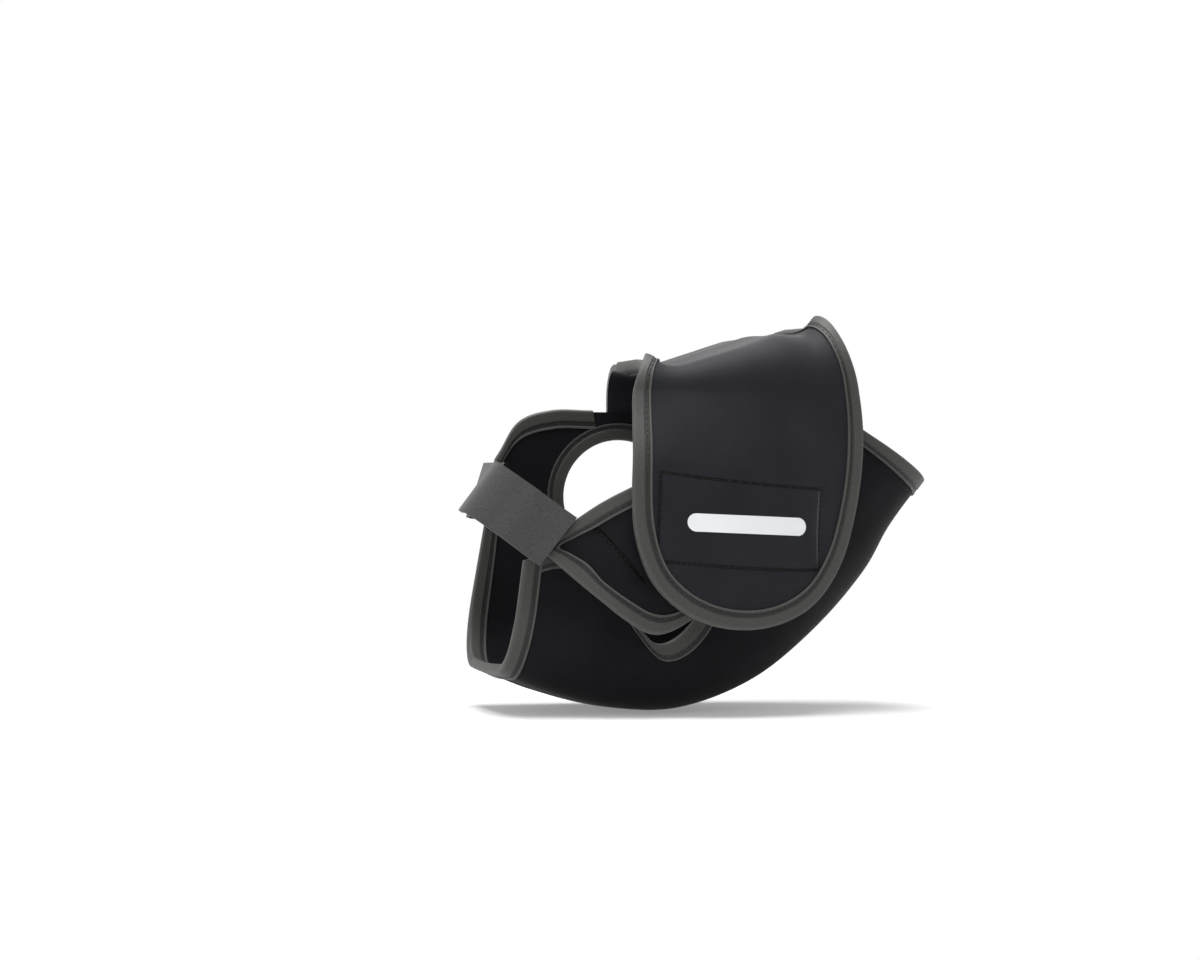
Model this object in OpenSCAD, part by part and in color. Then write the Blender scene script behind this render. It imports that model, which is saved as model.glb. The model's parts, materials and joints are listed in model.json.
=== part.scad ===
// Fabric cover for the mid motor of an electric bicycle, in the shape it takes when worn.
// X points to the front wheel, Z up, and the drive side faces -Y.
// The origin is where the crank axle crosses the bicycle's middle plane.

/* [Materials] */
// Thickness of the foam rubber sheet
sheet_t = 3; // [2.5:0.5:3.5]
// Width of the binding tape that shows on each face
tape_w = 8.5; // [7:0.5:9]
// Thickness of the binding tape
tape_t = 0.8; // [0.5:0.1:1]

/* [Cover] */
// Distance from the middle plane to the drive side wall
drive_y = 60; // [57:1:66]
// Distance from the middle plane to the far side wall
far_y = 57; // [53:1:61]
// Half width of the cover at the mouth for the down tube
mouth_y = 46; // [43:1:49]
// Radius of the belly round the crank axle
belly_r = 98.5; // [96:0.5:102]
// Radius at which the walls roll under into the belly
roll_r = 32; // [26:1:36]
// Height of the seam that joins the flap to the far side wall
seam_z = 38; // [38:0.5:39]

/* [Crank] */
// Radius of the hole for the crank in the far side wall
hole_r = 28; // [24:1:29]
// How far the crank arm pushes the tongue and the flap outward
arm_lift = 16; // [12:1:20]
// Half width of the crank arm under the tongue
arm_r = 14; // [12:1:18]

/* [Flap] */
// Height of the flap's top over the crank
top_z = 60; // [59:1:64]
// Height that the top gains where it climbs the down tube
climb = 28; // [22:1:32]
// Lowest point of the flap below the crank axle
drop = 60.5; // [58:0.5:62]
// Radius of the flap's far shoulder
shoulder_r = 15; // [11:1:16]
// Width of the hook patch sewn inside the flap
patch_w = 74; // [66:1:76]
// Height of the hook patch sewn inside the flap
patch_h = 40; // [30:1:42]
// Thickness of a hook patch
patch_t = 1.2; // [0.8:0.1:1.4]

/* [Strap] */
// Width of the hook and loop strap
strap_w = 28; // [22:1:30]
// Thickness of the strap
strap_t = 1.6; // [1.2:0.1:2]
// Distance from the crank axle to the strap's outer fold
strap_reach = 93; // [91:1:97]
// Angle of the strap above the horizontal
strap_angle = 37; // [33:1:41]

/* [Hidden] */

// Clearance between sewn layers
gap = 0.15;
// Half the thickness of a bound edge, and of the sheet with its clearance
bound_h = sheet_t / 2 + gap + tape_t;
seat_h = sheet_t / 2 + gap;
// Distance between the middles of two layers that cross with their bindings on
layer = 2 * bound_h + patch_t + 2 * gap;
// Height where the flap's crest ends and its hanging face starts
crest_z = top_z - 10;
// How far the flap's face leans in below its crest
crest_in = 4;
// Length along the flap's chart from the crest to the seam
top_run = 150;
// Step for the slopes of surfaces
STEP = 0.002;

function clamp(v, lo, hi) = min(max(v, lo), hi);
function ease(t) = let (c = clamp(t, 0, 1)) c * c * (3 - 2 * c);
function mix(a, b, t) = a * (1 - t) + b * t;
function unit(v) = v / norm(v);
function across(v, n) = unit(v - n * (v * n));

// Point at share t of a smooth curve through the points p
function curve(p, t) =
    let (n = len(p) - 1, q = clamp(t, 0, 1) * n, i = min(floor(q), n - 1), f = q - i)
    let (a = i > 0 ? p[i - 1] : 2 * p[0] - p[1], b = p[i], c = p[i + 1])
    let (d = i < n - 1 ? p[i + 2] : 2 * p[n] - p[n - 1])
    (2 * b + (c - a) * f + (2 * a - 5 * b + 4 * c - d) * f * f
     + (3 * b - a - 3 * c + d) * f * f * f) / 2;

// Outer faces of the side walls, as distances from the middle plane at x
function drive_wall(x) = mix(drive_y, mouth_y, ease((x - 45) / 90));
function far_wall(x) = mix(far_y, mouth_y, ease((x - 50) / 85));

// Share of the full lift that the crank arm gives the cloth at (x, z)
function arm_share(x, z) =
    let (arm = [-0.22, -0.975], along = clamp([x, z] * arm, 0, 92))
    let (off = norm([x, z] - along * arm), fade = mix(55, 82, ease((x + 25) / 60)))
    0.5 + 0.5 * cos(180 * clamp((off - arm_r) / fade, 0, 1));

// The body in side view: the belly, then the top edges of the two walls, all from rear to front
belly = concat(
    [for (p = [[-0.8, -0.82], [-0.57, -0.915], [-0.25, -0.995], [0.08, -1], [0.44, -0.87],
               [0.77, -0.62], [1.02, -0.36], [1.16, -0.14]]) p * belly_r],
    [[132, 8.5]]);
drive_top = [[-72, -29], [-52, -25], [-30, -42], [-9, -69], [13, -52], [22, -8], [40, 20], [62, 32],
             [86, 36]];
far_top = [[-62, 18], [-51, 36], [-34, seam_z + 4], [-14, seam_z + 4], [8, seam_z + 4],
           [30, seam_z + 4], [50, seam_z + 4], [70, seam_z + 4], [87, seam_z + 4]];

// One wall's half of a section, from the wall's top edge at t = 0 round the roll to the belly
function half_section(rim, top, t) =
    let (wall = norm(top - rim), dir = (top - rim) / wall, straight = max(wall - roll_r, 0))
    let (a0 = wall < roll_r ? asin(1 - wall / roll_r) : 0, arc = roll_r * (90 - a0) * PI / 180)
    let (d = t * (straight + arc), a = d < straight ? 0 : a0 + (d - straight) / arc * (90 - a0))
    let (q = d < straight ? wall - d : roll_r * (1 - sin(a)), at = rim + dir * q)
    [at.x, at.y, 0.85 * roll_r * (1 - cos(a))];

// The body's middle surface: u from rear to front, v from the drive side's top edge to the far side's
DRIVE_PART = 0.36;
FAR_PART = 0.46;
function body_at(u, v) =
    let (rim = curve(belly, u))
    v <= DRIVE_PART
        ? let (h = half_section(rim, curve(drive_top, u), v / DRIVE_PART))
          [h.x, h.z - drive_wall(h.x), h.y]
        : v >= FAR_PART
            ? let (h = half_section(rim, curve(far_top, u), (1 - v) / (1 - FAR_PART)))
              [h.x, far_wall(h.x) - h.z, h.y]
            : let (t = (v - DRIVE_PART) / (FAR_PART - DRIVE_PART), under = unit(rim) * sin(180 * t))
              let (y0 = 0.85 * roll_r - drive_wall(rim.x), y1 = far_wall(rim.x) - 0.85 * roll_r)
              [rim.x + under.x, mix(y0, y1, t), rim.y + under.y];

// Hanging faces of the tongue and of the flap, as distances from the middle plane
function tongue_y(x, z) =
    drive_wall(x) + mix(layer, sheet_t + gap, ease((x - 46) / 12)) + arm_lift * arm_share(x, z);
function flap_y(x, z) =
    drive_wall(x) + 2 * layer + arm_lift * arm_share(x, z) - crest_in * ease((z - crest_z + 40) / 40);

// Height of the flap's top at (x, y), with a lip against the seat tube at its left edge
function flap_top(x, y) =
    top_z + climb * clamp((x - 18) / 86, -0.3, 1) + 7 * exp(-pow((x + 8) / 10, 2)) * ease((y + 55) / 50);

// Point on the flap's chart: x, and q as height on the hanging face or as run over the top
function flap_at(x, q) =
    q <= crest_z ? [x, -flap_y(x, q), q] :
    let (yn = flap_y(x, crest_z), yf = far_wall(x) + sheet_t + 2 * gap, zf = flap_top(x, far_y))
    let (rn = flap_top(x, -far_y) - crest_z, rf = shoulder_r)
    let (rise = zf - rf - seam_z, flat = yf - rf + yn - rn)
    let (near_arc = rn * PI / 2, far_arc = rf * PI / 2)
    let (d = (q - crest_z) / top_run * (near_arc + flat + far_arc + rise))
    let (d1 = d - near_arc, d2 = d1 - flat, d3 = d2 - far_arc, a = d / rn * 180 / PI, b = d2 / rf * 180 / PI)
    d1 < 0 ? [x, rn * (1 - cos(a)) - yn, crest_z + rn * sin(a)]
    : d2 < 0 ? [x, rn - yn + d1, flap_top(x, rn - yn + d1)]
    : d3 < 0 ? [x, yf - rf * (1 - sin(b)), zf - rf * (1 - cos(b))]
    : [x, yf, zf - rf - d3];
function tongue_at(x, z) = [x, -tongue_y(x, z), z];

// A surface point with its normal, [point, normal], on each chart
function slope(s, u, v, e) = unit(cross(s(u + e, v) - s(u - e, v), s(u, v + e) - s(u, v - e)));
function body_pn(u, v) =
    let (c = clamp(u, STEP, 1 - STEP), d = clamp(v, STEP, 1 - STEP), s = function (a, b) body_at(a, b))
    [body_at(u, v), slope(s, c, d, STEP)];
function flap_pn(p) = [flap_at(p.x, p.y), slope(function (a, b) flap_at(a, b), p.x, p.y, 0.5)];
function tongue_pn(p) = [tongue_at(p.x, p.y), slope(function (a, b) tongue_at(a, b), p.x, p.y, 0.5)];

// Body grid: the first line in from each edge lies one tape width from it
NU = 28;
NV = 26;
function spread(k, n, lo, hi) = k == 0 ? 0 : k == n ? 1 : lo + (hi - lo) * (k - 1) / (n - 2);
function u_at(i, v) =
    spread(i, NU, tape_w * STEP / norm(body_at(STEP, v) - body_at(0, v)),
           1 - tape_w * STEP / norm(body_at(1, v) - body_at(1 - STEP, v)));
function v_at(j, u) =
    spread(j, NV, tape_w * STEP / norm(body_at(u, STEP) - body_at(u, 0)),
           1 - tape_w * STEP / norm(body_at(u, 1) - body_at(u, 1 - STEP)));
body_grid = [for (i = [0:NU]) [for (j = [0:NV]) body_pn(u_at(i, j / NV), v_at(j, i / NU))]];

// A leaf with a U-shaped outline: ribs run from the outline to a spine, the first step one tape wide
function inset(a, b, s, m) = s == 0 ? a : let (w = min(tape_w / norm(b - a), 0.9))
    mix(a, b, w + (1 - w) * (s - 1) / (m - 1));
function leaf_rows(edge, spine, m) =
    let (n = len(edge) - 1, k = len(spine) - 1)
    [for (i = [0:n]) [for (s = [0:m]) inset(edge[i], spine[min(i, n - i, k)], s, m)]];

// The flap's outline on its chart, from the seam down the left, round the bottom and up the right;
// over(s) is the chart's height at share s of the way from the crest to the seam
function over(s) = crest_z + s * top_run;
flap_edge_points = [[-5, over(1)], [-5, over(0.81)], [-5.4, over(0.64)], [-5.7, over(0.48)],
    [-8, over(0.33)], [-12, over(0.2)], [-16.6, over(0.093)], [-21.8, over(0.013)],
    [-23.8, 37], [-25.2, 22], [-26.4, 4], [-25.4, -17], [-19, -36], [-7, -49.5], [9.5, 2.5 - drop],
    [29, -drop], [48, 3.5 - drop], [64.5, -47.3], [76.5, -30.5], [83.3, -10], [87.3, 11], [89.2, 32],
    [87.6, over(0)], [84.8, over(0.107)], [81.8, over(0.213)], [80.3, over(0.32)], [80.7, over(0.453)],
    [82.5, over(0.633)], [84, over(0.813)], [85.5, over(1)]];
FLAP_N = 58;
FLAP_M = 8;
flap_edge = [for (i = [0:FLAP_N]) curve(flap_edge_points, i / FLAP_N)];
flap_spine = [for (i = [0:22]) [34, mix(over(1), 4.2, i / 22)]];
flap_grid = [for (row = leaf_rows(flap_edge, flap_spine, FLAP_M)) [for (p = row) flap_pn(p)]];

// The tongue's outline, from its root along the upper edge, round the tip and back
tongue_edge_points = [[76, 22], [58, 26], [36, 25], [12, 20], [-8, 12], [-24, 5], [-38, -2.5],
    [-49.5, -10.4], [-60, -17.5], [-66, -23.2], [-61, -25.6], [-54, -30.5], [-40, -43.2], [-29, -53],
    [-18, -60.8], [-8, -60.4], [6, -53.5], [24, -44], [44, -34], [60, -27], [76, -22]];
TONGUE_N = 40;
TONGUE_M = 4;
tongue_edge = [for (i = [0:TONGUE_N]) curve(tongue_edge_points, i / TONGUE_N)];
tongue_spine = [for (i = [0:16]) [76 - 7.1 * i, mix(0, -22, ease(i / 12))]];
tongue_grid = [for (row = leaf_rows(tongue_edge, tongue_spine, TONGUE_M)) [for (p = row) tongue_pn(p)]];

// Strap: its middle line from the free end round the chain guard's edge to the far side wall
strap_dir = [cos(strap_angle), -sin(strap_angle)];
strap_path = concat(
    [for (q = [[42, -70], [31, -70], [19, -69], [9, -67], [1.5, -61], [0.3, -52]])
        [strap_dir.x * q.x - strap_reach, q.y, 5 + strap_dir.y * q.x]],
    [[-92, -37, 5.5], [-85.5, -8, 5], [-79.5, 20, 4], [-74.5, 44, 3], [-71, 57.5, 2.5], [-65.5, 61.8, 2],
     [-58, 61.2, 2], [-50, 61.2, 2], [-42, 61.2, 2]]);
strap_far = far_y + bound_h + gap + strap_t / 2;
function strap_at(a, b) =
    let (c = curve(strap_path, a), tilt = strap_angle * (1 - ease((c.y + 50) / 100)))
    let (x = c.x + sin(tilt) * (b - 0.5) * strap_w, z = c.z + cos(tilt) * (b - 0.5) * strap_w)
    let (near = tongue_y(x, z) + bound_h + patch_t + 5 * gap + strap_t / 2)
    [x, c.y < 0 ? mix(c.y, -near, ease((c.x + 84) / 10)) : mix(c.y, strap_far, ease((c.x + 70) / 7)), z];
function strap_pn(a, b) =
    let (s = function (k, m) strap_at(k, m), c = clamp(a, STEP, 1 - STEP))
    [strap_at(a, b), slope(s, c, clamp(b, STEP, 1 - STEP), STEP)];
STRAP_N = 44;
strap_grid = [for (i = [0:STRAP_N]) [for (j = [0:4]) strap_pn(i / STRAP_N, j / 4)]];

// Hook patches: on the flap a slightly turned rectangle, on the tongue the area by its tip
patch_mid = [27, -10.5];
patch_turn = -4;
flap_patch = [for (i = [0:14]) [for (j = [0:6])
    let (a = (i / 14 - 0.5) * patch_w, b = (j / 6 - 0.5) * patch_h, c = cos(patch_turn), d = sin(patch_turn))
    flap_pn(patch_mid + [a * c - b * d, a * d + b * c])]];
tongue_patch = [for (i = [0:4]) [for (j = [0:5])
    tongue_pn(mix(mix([-50, -22], [-41, -15.5], i / 4), mix([-35.5, -34], [-25, -37], i / 4), 1 - j / 5))]];

// Solid sheet of thickness t round the grid g of [point, normal], moved by off along the normals
module sheet(g, t, off = 0) {
    n = len(g) - 1;
    m = len(g[0]) - 1;
    c = (n + 1) * (m + 1);
    at = function (i, j) i * (m + 1) + j;
    pts = [for (k = [off + t / 2, off - t / 2]) for (row = g) for (q = row) q[0] + q[1] * k];
    cells = [for (i = [0:n - 1]) for (j = [0:m - 1])
        each [[at(i, j), at(i, j + 1), at(i + 1, j + 1)], [at(i, j), at(i + 1, j + 1), at(i + 1, j)]]];
    loop = concat([for (i = [0:n - 1]) at(i, 0)], [for (j = [0:m - 1]) at(n, j)],
                  [for (i = [n:-1:1]) at(i, m)], [for (j = [m:-1:1]) at(0, j)]);
    rim = [for (k = [0:len(loop) - 1]) let (a = loop[k], b = loop[(k + 1) % len(loop)])
        each [[a, b, b + c], [a, b + c, a + c]]];
    polyhedron(pts, concat(cells, [for (f = cells) [f[2] + c, f[1] + c, f[0] + c]], rim));
}

// Solid leaf whose ribs meet at the spine
module leaf(g, t, k, off = 0) {
    n = len(g) - 1;
    m = len(g[0]) - 1;
    spine_at = (n + 1) * m;
    c = spine_at + k + 1;
    at = function (i, s) s < m ? i * m + s : spine_at + min(i, n - i, k);
    flat = concat([for (row = g) for (s = [0:m - 1]) row[s]], [for (i = [0:k]) g[i][m]]);
    pts = [for (h = [off + t / 2, off - t / 2]) for (q = flat) q[0] + q[1] * h];
    cells = [for (i = [0:n - 1]) for (s = [0:m - 1]) for (f = [
        [at(i, s), at(i, s + 1), at(i + 1, s + 1)], [at(i, s), at(i + 1, s + 1), at(i + 1, s)]])
        if (f[0] != f[1] && f[1] != f[2] && f[0] != f[2]) f];
    loop = concat([for (i = [0:n]) at(i, 0)], [for (s = [1:m]) at(n, s)], [for (s = [m - 1:-1:1]) at(0, s)]);
    rim = [for (i = [0:len(loop) - 1]) let (a = loop[i], b = loop[(i + 1) % len(loop)])
        each [[a, b, b + c], [a, b + c, a + c]]];
    polyhedron(pts, concat(cells, [for (f = cells) [f[2] + c, f[1] + c, f[0] + c]], rim));
}

// Folded binding tape along pairs of [edge point and normal, inner point and normal]; its facets
// turn their diagonals from pair number turn on, to lie on the sheet's own
module tape(pairs, turn) {
    n = len(pairs) - 1;
    rings = [for (q = pairs)
        let (a = q[0][0], na = q[0][1], b = q[1][0] + unit(q[0][0] - q[1][0]) * gap, nb = q[1][1])
        let (o = across(a - b, na), out = gap + tape_t, hh = bound_h, h = seat_h)
        [b + nb * hh, a + na * hh + o * gap, a + na * hh * 0.55 + o * out, a - na * hh * 0.55 + o * out,
         a - na * hh + o * gap, b - nb * hh,
         b - nb * h, a - na * h + o * gap, a + na * h + o * gap, b + nb * h]];
    pts = [for (r = rings) each r];
    side = [for (i = [0:n - 1]) for (k = [0:9])
        let (a = i * 10 + k, b = i * 10 + (k + 1) % 10, inward = k == 4 || k == 8)
        each (inward == (i < turn) ? [[a, b, b + 10], [a, b + 10, a + 10]]
            : [[a, b, a + 10], [b, b + 10, a + 10]])];
    cap = [[0, 9, 1], [9, 8, 1], [8, 2, 1], [8, 7, 2], [7, 3, 2], [7, 4, 3], [7, 6, 4], [6, 5, 4]];
    polyhedron(pts, concat(side, cap, [for (f = cap) [f[2] + 10 * n, f[1] + 10 * n, f[0] + 10 * n]]));
}

module body_panel() {
    color([0.09, 0.09, 0.10])
    difference() {
        sheet(body_grid, sheet_t);
        translate([0, far_y + 5, 0])
        rotate([90, 0, 0])
        cylinder(h = 10, r = hole_r + tape_t + gap, $fn = 96);
    }
}
module top_flap() {
    color([0.11, 0.11, 0.13])
    leaf(flap_grid, sheet_t, len(flap_spine) - 1);
}
module tongue() {
    color([0.10, 0.10, 0.11])
    leaf(tongue_grid, sheet_t, len(tongue_spine) - 1);
}
module wrap_strap() {
    color([0.16, 0.16, 0.16])
    sheet(strap_grid, strap_t);
}
module strap_hook_patch() {
    color([0.05, 0.05, 0.05])
    sheet([for (i = [0.3:1:11.3]) [for (j = [0.06:0.22:0.94]) strap_pn(i / STRAP_N, j)]], patch_t,
          strap_t / 2 + gap + patch_t / 2);
}
module flap_hook_patch() {
    color([0.05, 0.05, 0.05])
    sheet(flap_patch, patch_t, -(seat_h + gap + patch_t / 2));
}
module tongue_hook_patch() {
    color([0.05, 0.05, 0.05])
    sheet(tongue_patch, patch_t, -(seat_h + gap + patch_t / 2));
}
module flap_binding() {
    color([0.2, 0.2, 0.18])
    tape([for (i = [3:FLAP_N - 3]) [flap_grid[i][0], flap_grid[i][1]]], FLAP_N);
}
module tongue_binding() {
    color([0.2, 0.2, 0.18])
    tape([for (i = [2:TONGUE_N - 2]) [tongue_grid[i][0], tongue_grid[i][1]]], TONGUE_N);
}
module front_binding() {
    color([0.2, 0.2, 0.18])
    tape([for (j = [0:NV - 1]) [body_grid[NU][j], body_grid[NU - 1][j]]], 0);
}
module rear_binding() {
    color([0.2, 0.2, 0.18])
    tape(concat(
        [for (i = [10:-1:2]) [body_grid[i][NV], body_grid[i][NV - 1]]],
        [[body_grid[0][NV], body_grid[1][NV - 1]]],
        [for (j = [NV - 2:-1:0]) [body_grid[0][j], body_grid[1][j]]]), 9);
}
module slot_binding() {
    color([0.2, 0.2, 0.18])
    tape([for (i = [1:NU - 1]) [body_grid[i][0], body_grid[i][1]]], NU);
}
module crank_hole_binding() {
    color([0.2, 0.2, 0.18])
    translate([0, far_y, 0])
    rotate([90, 0, 0])
    rotate_extrude($fn = 96)
    difference() {
        translate([hole_r, -bound_h])
        square([tape_w, 2 * bound_h]);
        translate([hole_r + tape_t, -seat_h])
        square([tape_w, 2 * seat_h]);
    }
}

body_panel();
top_flap();
tongue();
wrap_strap();
flap_binding();
tongue_binding();
front_binding();
rear_binding();
slot_binding();
crank_hole_binding();
flap_hook_patch();
tongue_hook_patch();
strap_hook_patch();
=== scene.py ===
import json
import math
import bmesh
import bpy
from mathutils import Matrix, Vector

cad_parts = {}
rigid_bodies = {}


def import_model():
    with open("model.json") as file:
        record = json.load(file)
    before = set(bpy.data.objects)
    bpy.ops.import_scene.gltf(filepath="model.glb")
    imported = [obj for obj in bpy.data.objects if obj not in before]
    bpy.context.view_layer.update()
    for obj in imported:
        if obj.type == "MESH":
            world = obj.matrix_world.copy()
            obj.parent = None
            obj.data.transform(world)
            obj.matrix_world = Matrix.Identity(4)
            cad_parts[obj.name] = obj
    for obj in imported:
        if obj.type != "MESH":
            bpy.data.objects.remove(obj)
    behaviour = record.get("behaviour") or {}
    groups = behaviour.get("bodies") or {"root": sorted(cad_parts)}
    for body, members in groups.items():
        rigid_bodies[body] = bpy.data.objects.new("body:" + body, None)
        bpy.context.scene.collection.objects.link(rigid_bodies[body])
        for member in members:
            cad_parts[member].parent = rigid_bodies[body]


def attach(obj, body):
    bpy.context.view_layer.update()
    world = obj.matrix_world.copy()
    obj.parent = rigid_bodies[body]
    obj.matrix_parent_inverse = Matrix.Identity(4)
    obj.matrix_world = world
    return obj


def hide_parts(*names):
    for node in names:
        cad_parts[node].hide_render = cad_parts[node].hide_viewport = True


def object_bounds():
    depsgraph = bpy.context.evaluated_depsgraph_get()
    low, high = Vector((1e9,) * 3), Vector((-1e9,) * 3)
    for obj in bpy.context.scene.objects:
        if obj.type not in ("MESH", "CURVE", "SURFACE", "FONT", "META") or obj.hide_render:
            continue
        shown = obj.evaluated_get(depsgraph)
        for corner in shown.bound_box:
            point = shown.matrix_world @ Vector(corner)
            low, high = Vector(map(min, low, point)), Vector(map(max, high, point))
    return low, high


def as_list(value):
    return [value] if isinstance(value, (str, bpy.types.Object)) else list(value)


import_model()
cad_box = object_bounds()
MM = 0.001

# Camera of the photograph: level, on the drive side, turned a little to the front. FOCAL is in the pixels of
# a frame FRAME_W wide, and SHIFT and EYE_Z place the eye across its view and up, in millimetres
YAW = math.radians(13.0)
DIST, SHIFT, EYE_Z = 1800.0, 21.8, 8.2
FOCAL, FRAME_W = 3716.0, 1200.0
LOOK = Vector((math.sin(YAW), math.cos(YAW), 0.0))
RIGHT = Vector((math.cos(YAW), -math.sin(YAW), 0.0))
cam_data = bpy.data.cameras.new("camera")
cam_data.sensor_width = 36.0
cam_data.lens = FOCAL * cam_data.sensor_width / FRAME_W
cam_data.clip_end = 50.0
camera = bpy.data.objects.new("camera", cam_data)
camera.location = (-DIST * LOOK - SHIFT * RIGHT + Vector((0, 0, EYE_Z))) * MM
camera.rotation_euler = (math.radians(90), 0, -YAW)
bpy.context.scene.collection.objects.link(camera)
bpy.context.scene.camera = camera

# Sizes of the part, in millimetres, as in its source
SHEET_T, TAPE_W, TAPE_T, GAP = 3.0, 8.5, 0.8, 0.15
DRIVE_Y, FAR_Y, MOUTH_Y = 60.0, 57.0, 46.0
BELLY_R, ROLL_R, SEAM_Z, HOLE_R = 98.5, 32.0, 38.0, 28.0
ARM_LIFT, ARM_R, TOP_Z, CLIMB, DROP, SHOULDER_R = 16.0, 14.0, 60.0, 28.0, 60.5, 15.0
PATCH_W, PATCH_H, PATCH_T = 74.0, 40.0, 1.2
STRAP_W, STRAP_T, STRAP_REACH, STRAP_ANGLE = 28.0, 1.6, 93.0, math.radians(37.0)
BOUND_H = SHEET_T / 2 + GAP + TAPE_T
SEAT_H = SHEET_T / 2 + GAP
LAYER = 2 * BOUND_H + PATCH_T + 2 * GAP
CREST_Z, CREST_IN, TOP_RUN = TOP_Z - 10, 4.0, 150.0


def clamp(v, lo, hi):
    return min(max(v, lo), hi)


def ease(t):
    c = clamp(t, 0.0, 1.0)
    return c * c * (3 - 2 * c)


def mix(a, b, t):
    return a * (1 - t) + b * t


def mixp(a, b, t):
    return tuple(x * (1 - t) + y * t for x, y in zip(a, b))


def curve(p, t):
    n = len(p) - 1
    q = clamp(t, 0.0, 1.0) * n
    i = min(int(q), n - 1)
    f = q - i
    b, c = p[i], p[i + 1]
    a = p[i - 1] if i > 0 else tuple(2 * x - y for x, y in zip(p[0], p[1]))
    d = p[i + 2] if i < n - 1 else tuple(2 * x - y for x, y in zip(p[n], p[n - 1]))
    return tuple((2 * bb + (cc - aa) * f + (2 * aa - 5 * bb + 4 * cc - dd) * f * f
                  + (3 * bb - aa - 3 * cc + dd) * f ** 3) / 2 for aa, bb, cc, dd in zip(a, b, c, d))


def drive_wall(x):
    return mix(DRIVE_Y, MOUTH_Y, ease((x - 45) / 90))


def far_wall(x):
    return mix(FAR_Y, MOUTH_Y, ease((x - 50) / 85))


def arm_share(x, z):
    ax, az = -0.22, -0.975
    along = clamp(x * ax + z * az, 0, 92)
    off = math.hypot(x - along * ax, z - along * az)
    fade = mix(55, 82, ease((x + 25) / 60))
    return 0.5 + 0.5 * math.cos(math.pi * clamp((off - ARM_R) / fade, 0, 1))


BELLY = [(a * BELLY_R, b * BELLY_R) for a, b in
         ((-0.8, -0.82), (-0.57, -0.915), (-0.25, -0.995), (0.08, -1), (0.44, -0.87), (0.77, -0.62),
          (1.02, -0.36), (1.16, -0.14))] + [(132, 8.5)]
DRIVE_TOP = [(-72, -29), (-52, -25), (-30, -42), (-9, -69), (13, -52), (22, -8), (40, 20), (62, 32),
             (86, 36)]
FAR_TOP = [(-62, 18), (-51, 36)] + [(x, SEAM_Z + 4) for x in (-34, -14, 8, 30, 50, 70, 87)]
DRIVE_PART, FAR_PART = 0.36, 0.46


def half_section(rim, top, t):
    dx, dz = top[0] - rim[0], top[1] - rim[1]
    wall = math.hypot(dx, dz)
    straight = max(wall - ROLL_R, 0.0)
    a0 = math.asin(1 - wall / ROLL_R) if wall < ROLL_R else 0.0
    arc = ROLL_R * (math.pi / 2 - a0)
    d = t * (straight + arc)
    a = 0.0 if d < straight else a0 + (d - straight) / arc * (math.pi / 2 - a0)
    q = wall - d if d < straight else ROLL_R * (1 - math.sin(a))
    return rim[0] + dx / wall * q, rim[1] + dz / wall * q, 0.85 * ROLL_R * (1 - math.cos(a))


def body_at(u, v):
    rim = curve(BELLY, u)
    if v <= DRIVE_PART:
        x, z, y = half_section(rim, curve(DRIVE_TOP, u), v / DRIVE_PART)
        return Vector((x, y - drive_wall(x), z))
    if v >= FAR_PART:
        x, z, y = half_section(rim, curve(FAR_TOP, u), (1 - v) / (1 - FAR_PART))
        return Vector((x, far_wall(x) - y, z))
    t = (v - DRIVE_PART) / (FAR_PART - DRIVE_PART)
    r = math.hypot(*rim)
    k = 1 + 1.0 * math.sin(math.pi * t) / r
    y0, y1 = 0.85 * ROLL_R - drive_wall(rim[0]), far_wall(rim[0]) - 0.85 * ROLL_R
    return Vector((rim[0] * k, mix(y0, y1, t), rim[1] * k))


def tongue_y(x, z):
    return drive_wall(x) + mix(LAYER, SHEET_T + GAP, ease((x - 46) / 12)) + ARM_LIFT * arm_share(x, z)


def flap_y(x, z):
    lean = CREST_IN * ease((z - CREST_Z + 40) / 40)
    return drive_wall(x) + 2 * LAYER + ARM_LIFT * arm_share(x, z) - lean


def flap_top(x, y):
    """Height of the flap's top: it climbs to the front, and its rear edge and both near corners stand up."""
    near = 1 - ease((y + 55) / 40)
    lip = 7 * math.exp(-((x + 8) / 10) ** 2) * ease((y + 55) / 50)
    rear_corner = 9 * math.exp(-((x + 16) / 10) ** 2) * near
    front_corner = 6 * ease((x - 66) / 14) * (1 - ease((y + 50) / 40))
    crown = 5 * (1 - ease((x - 50) / 18))
    return TOP_Z + CLIMB * clamp((x - 18) / 86, -0.3, 1) + lip + rear_corner + crown + front_corner


def flap_at(x, q):
    """Point of the flap: below CREST_Z q is its height, above it TOP_RUN leads on over the top to the seam."""
    if q <= CREST_Z:
        return Vector((x, -flap_y(x, q), q))
    yn, yf, zf = flap_y(x, CREST_Z), far_wall(x) + SHEET_T + 2 * GAP, flap_top(x, FAR_Y)
    rn, rf = flap_top(x, -FAR_Y) - CREST_Z, SHOULDER_R
    rise, flat = zf - rf - SEAM_Z, yf - rf + yn - rn
    near_arc, far_arc = rn * math.pi / 2, rf * math.pi / 2
    d = (q - CREST_Z) / TOP_RUN * (near_arc + flat + far_arc + rise)
    d1 = d - near_arc
    d2 = d1 - flat
    d3 = d2 - far_arc
    if d1 < 0:
        return Vector((x, rn * (1 - math.cos(d / rn)) - yn, CREST_Z + rn * math.sin(d / rn)))
    if d2 < 0:
        return Vector((x, rn - yn + d1, flap_top(x, rn - yn + d1)))
    if d3 < 0:
        return Vector((x, yf - rf * (1 - math.sin(d2 / rf)), zf - rf * (1 - math.cos(d2 / rf))))
    return Vector((x, yf, zf - rf - d3))


def tongue_at(x, z):
    return Vector((x, -tongue_y(x, z), z))


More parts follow.
